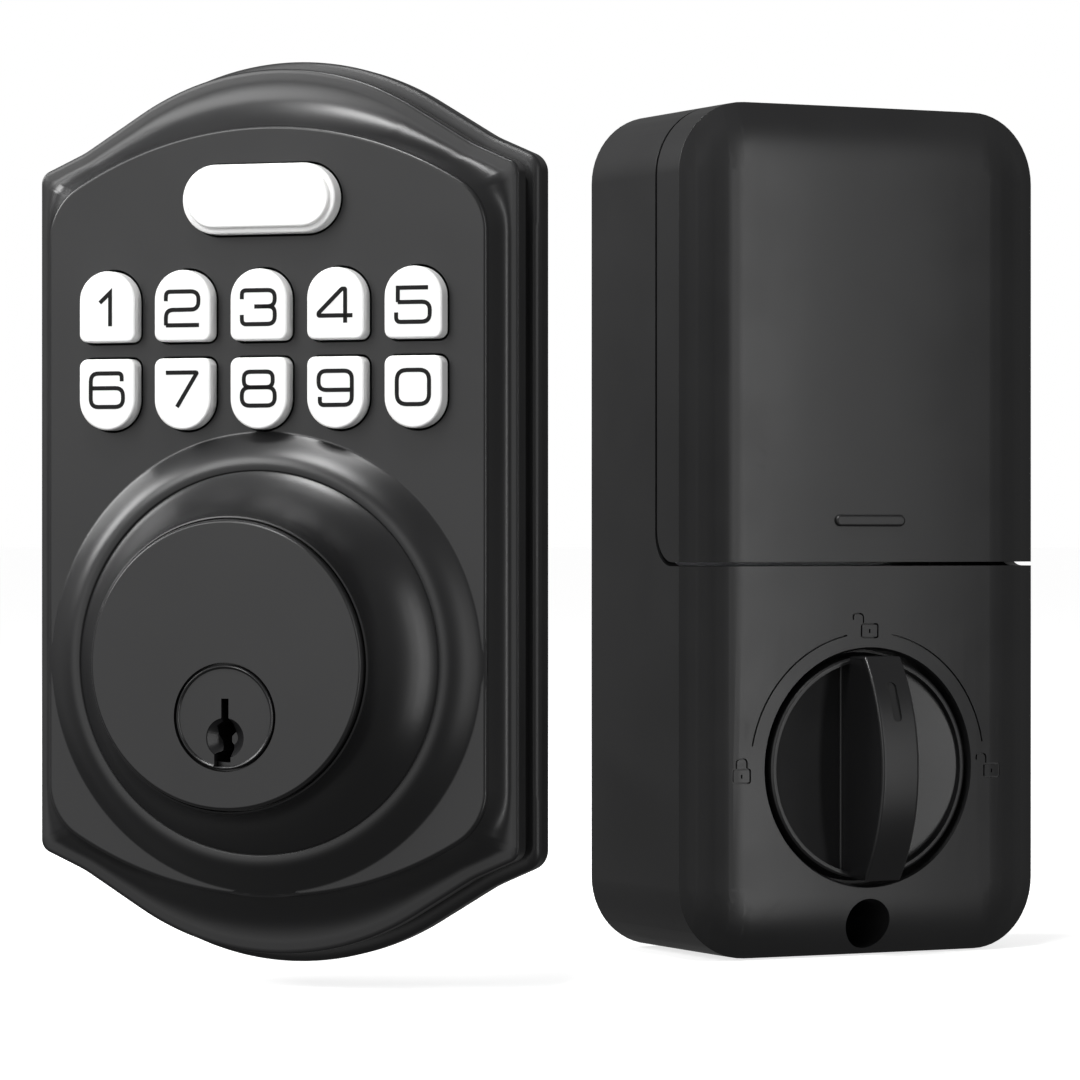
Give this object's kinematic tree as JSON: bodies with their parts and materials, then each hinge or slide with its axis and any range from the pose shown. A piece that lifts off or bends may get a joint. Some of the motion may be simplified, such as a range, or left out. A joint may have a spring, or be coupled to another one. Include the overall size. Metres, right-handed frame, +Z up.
{
  "type": "keypad smart lock",
  "caption": "Keypad deadbolt lock: crowned keypad unit with key cylinder beside its battery-powered thumbturn unit, both with working parts inside",
  "frame": {"origin": "on the key plug's axis, in the plane where the keypad unit meets the door", "axes": "+X to the right seen from the street side, +Y into the door, +Z up; the keypad unit's face looks along -Y and the thumbturn unit is turned 44.5 degrees about +Z beside it"},
  "size_m": [0.1259, 0.1434, 0.1331],
  "materials": {
    "black_casting": "satin black powder coat on zinc die casting",
    "black_plate": "fine-textured black moulding",
    "black_moulding": "satin black moulded ABS",
    "black_turn": "satin black coated zinc",
    "white_key": "satin white translucent key",
    "rubber_black": "matt black rubber",
    "silicone": "milky silicone",
    "brass_turned": "turned brass",
    "steel_plain": "zinc-plated steel",
    "spring_steel": "bright spring steel",
    "board_green": "solder-masked circuit board",
    "chip_black": "moulded chip package",
    "led_cream": "cream light-emitting diode",
    "socket_white": "natural nylon socket",
    "gear_nylon": "natural acetal gear",
    "cell_sleeve": "printed cell sleeve, plain bands",
    "frame_black": "glass-filled nylon"
  },
  "bodies": {
    "lock": {"escutcheon": "black_casting", "back_plate": "black_plate", "weather_seal": "rubber_black", "cylinder_body": "black_casting", "driver_pins": "steel_plain", "pin_springs": "spring_steel", "pin_cover": "brass_turned", "cylinder_retainer": "steel_plain", "cylinder_screws": "steel_plain", "keypad_membrane": "silicone", "keypad_board": "board_green", "keypad_leds": "led_cream", "keypad_screws": "steel_plain", "keypad_socket": "socket_white", "cable_grommet": "rubber_black", "mounting_posts": "steel_plain", "back_plate_screws": "steel_plain", "inner_housing": "black_moulding", "battery_tray": "frame_black", "battery_1": "cell_sleeve", "battery_2": "cell_sleeve", "battery_3": "cell_sleeve", "battery_4": "cell_sleeve", "cell_springs": "spring_steel", "cell_contacts": "spring_steel", "main_board": "board_green", "control_chips": "chip_black", "cable_socket": "socket_white", "buzzer": "chip_black", "mounting_plate": "steel_plain", "housing_screws": "steel_plain", "idler_axle": "steel_plain", "motor": "steel_plain", "gear_frame": "frame_black", "frame_screws": "steel_plain"},
    "plug": {"key_plug": "black_casting", "key_pins": "brass_turned", "plug_clip": "spring_steel", "tailpiece": "steel_plain"},
    "button": {"lock_button": "white_key"},
    "cover": {"battery_cover": "black_moulding"},
    "turn": {"thumbturn": "black_turn", "thumbturn_clip": "spring_steel", "spindle": "steel_plain", "spindle_gear": "gear_nylon", "position_magnet": "steel_plain"},
    "idler": {"idler_gear": "gear_nylon"},
    "pinion": {"motor_pinion": "brass_turned", "motor_shaft": "steel_plain"},
    "digit_1": {"key_1": "white_key"},
    "digit_2": {"key_2": "white_key"},
    "digit_3": {"key_3": "white_key"},
    "digit_4": {"key_4": "white_key"},
    "digit_5": {"key_5": "white_key"},
    "digit_6": {"key_6": "white_key"},
    "digit_7": {"key_7": "white_key"},
    "digit_8": {"key_8": "white_key"},
    "digit_9": {"key_9": "white_key"},
    "digit_0": {"key_0": "white_key"}
  },
  "joints": [
    {"name": "plug_turn", "type": "hinge", "parent": "lock", "child": "plug", "pos_m": [0, 0, 0], "axis": [0, 1, 0], "range_deg": [-90, 90]},
    {"name": "digit_1_press", "type": "slide", "parent": "lock", "child": "digit_1", "axis": [0, 1, 0], "range_m": [0, 0.0012], "stiffness_N_per_m": 400},
    {"name": "digit_2_press", "type": "slide", "parent": "lock", "child": "digit_2", "axis": [0, 1, 0], "range_m": [0, 0.0012], "stiffness_N_per_m": 400},
    {"name": "digit_3_press", "type": "slide", "parent": "lock", "child": "digit_3", "axis": [0, 1, 0], "range_m": [0, 0.0012], "stiffness_N_per_m": 400},
    {"name": "digit_4_press", "type": "slide", "parent": "lock", "child": "digit_4", "axis": [0, 1, 0], "range_m": [0, 0.0012], "stiffness_N_per_m": 400},
    {"name": "digit_5_press", "type": "slide", "parent": "lock", "child": "digit_5", "axis": [0, 1, 0], "range_m": [0, 0.0012], "stiffness_N_per_m": 400},
    {"name": "digit_6_press", "type": "slide", "parent": "lock", "child": "digit_6", "axis": [0, 1, 0], "range_m": [0, 0.0012], "stiffness_N_per_m": 400},
    {"name": "digit_7_press", "type": "slide", "parent": "lock", "child": "digit_7", "axis": [0, 1, 0], "range_m": [0, 0.0012], "stiffness_N_per_m": 400},
    {"name": "digit_8_press", "type": "slide", "parent": "lock", "child": "digit_8", "axis": [0, 1, 0], "range_m": [0, 0.0012], "stiffness_N_per_m": 400},
    {"name": "digit_9_press", "type": "slide", "parent": "lock", "child": "digit_9", "axis": [0, 1, 0], "range_m": [0, 0.0012], "stiffness_N_per_m": 400},
    {"name": "digit_0_press", "type": "slide", "parent": "lock", "child": "digit_0", "axis": [0, 1, 0], "range_m": [0, 0.0012], "stiffness_N_per_m": 400},
    {"name": "button_press", "type": "slide", "parent": "lock", "child": "button", "axis": [0, 1, 0], "range_m": [0, 0.0012], "stiffness_N_per_m": 500},
    {"name": "cover_slide", "type": "slide", "parent": "lock", "child": "cover", "axis": [0, 0, 1], "range_m": [0, 0.074]},
    {"name": "thumb_turn", "type": "hinge", "parent": "lock", "child": "turn", "pos_m": [0.0448, 0.0904, -0.0104], "axis": [0.7009, -0.7133, 0], "range_deg": [-90, 90]},
    {"name": "idler_spin", "type": "hinge", "parent": "lock", "child": "idler", "pos_m": [0.03754, 0.08327, 0.00588], "axis": [0.7009, -0.7133, 0], "range_deg": [-270, 270]},
    {"name": "pinion_spin", "type": "hinge", "parent": "lock", "child": "pinion", "pos_m": [0.04912, 0.09464, 0.01023], "axis": [0.7009, -0.7133, 0], "range_deg": [-675, 675]}
  ],
  "couplings": [
    {"joint": "idler_spin", "follows": "thumb_turn", "ratio": -3},
    {"joint": "pinion_spin", "follows": "thumb_turn", "ratio": 7.5}
  ]
}
